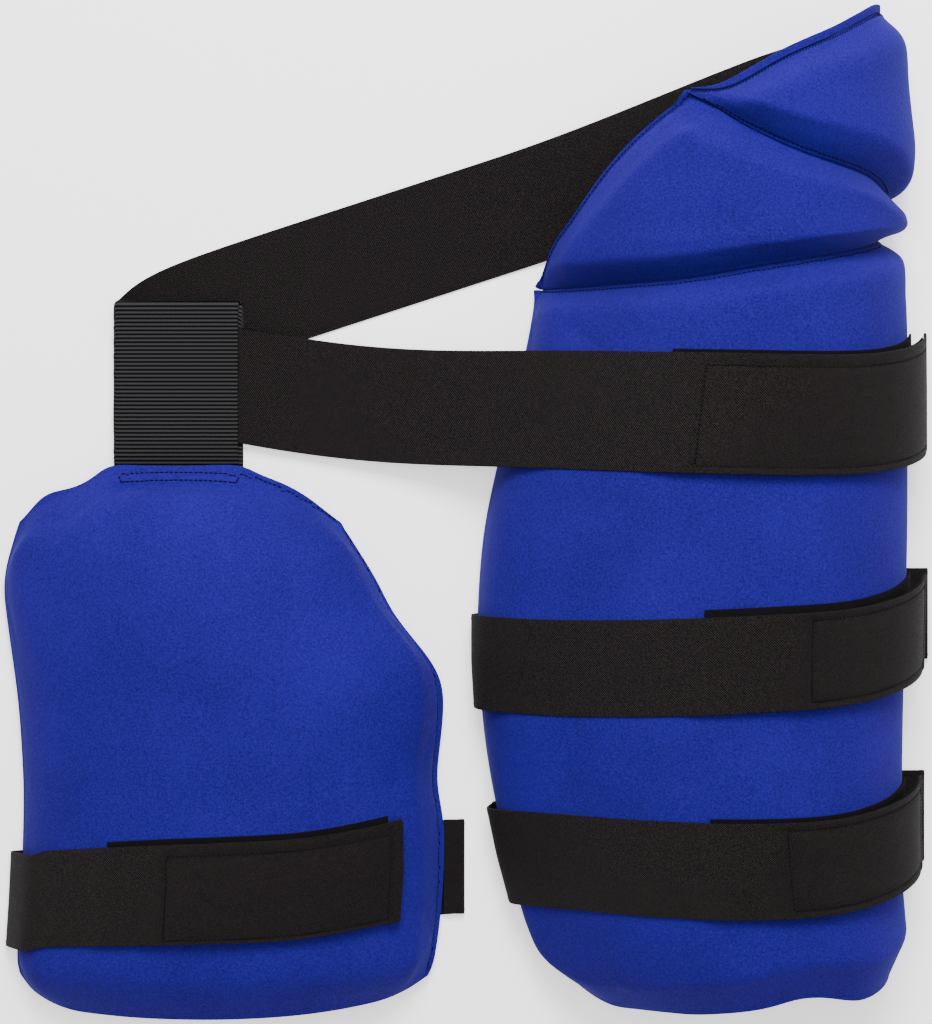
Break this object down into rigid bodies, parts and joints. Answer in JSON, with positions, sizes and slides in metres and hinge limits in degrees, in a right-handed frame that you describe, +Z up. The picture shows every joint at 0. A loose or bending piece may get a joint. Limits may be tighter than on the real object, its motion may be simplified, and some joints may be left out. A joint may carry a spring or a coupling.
{
  "type": "cricket thigh guard",
  "caption": "Cricket thigh guard lying on its back: a long outer pad with a hinged hip flap, a shorter inner pad on a waist belt, and elastic leg straps.",
  "frame": {"origin": "the middle of the guard's footprint, on the surface that it lies on", "axes": "+X from the inner pad to the outer pad, +Y from the knee end to the hip end, +Z up from the surface, out of the pads' padded faces"},
  "size_m": [0.5176, 0.5588, 0.1012],
  "materials": {
    "blue_fabric": "matte fine knit",
    "black_elastic": "twill elastic",
    "black_webbing": "ribbed webbing",
    "hook_tape": "hook tape",
    "pile_tape": "soft pile tape"
  },
  "bodies": {
    "root": {"outer_thigh_pad": "blue_fabric", "hip_gusset_pad": "blue_fabric", "hip_flap_pad": "blue_fabric", "hip_edge_welt": "blue_fabric", "inner_thigh_pad": "blue_fabric", "keeper_loop": "black_webbing", "waist_belt": "black_elastic", "belt_hook_tape": "hook_tape", "belt_loop_patch": "pile_tape", "upper_leg_strap": "black_elastic", "upper_leg_hook_tape": "hook_tape", "upper_leg_loop_patch": "pile_tape", "lower_leg_strap": "black_elastic", "lower_leg_hook_tape": "hook_tape", "lower_leg_loop_patch": "pile_tape", "inner_leg_strap": "black_elastic", "inner_leg_hook_tape": "hook_tape", "inner_leg_loop_patch": "pile_tape"}
  },
  "joints": []
}
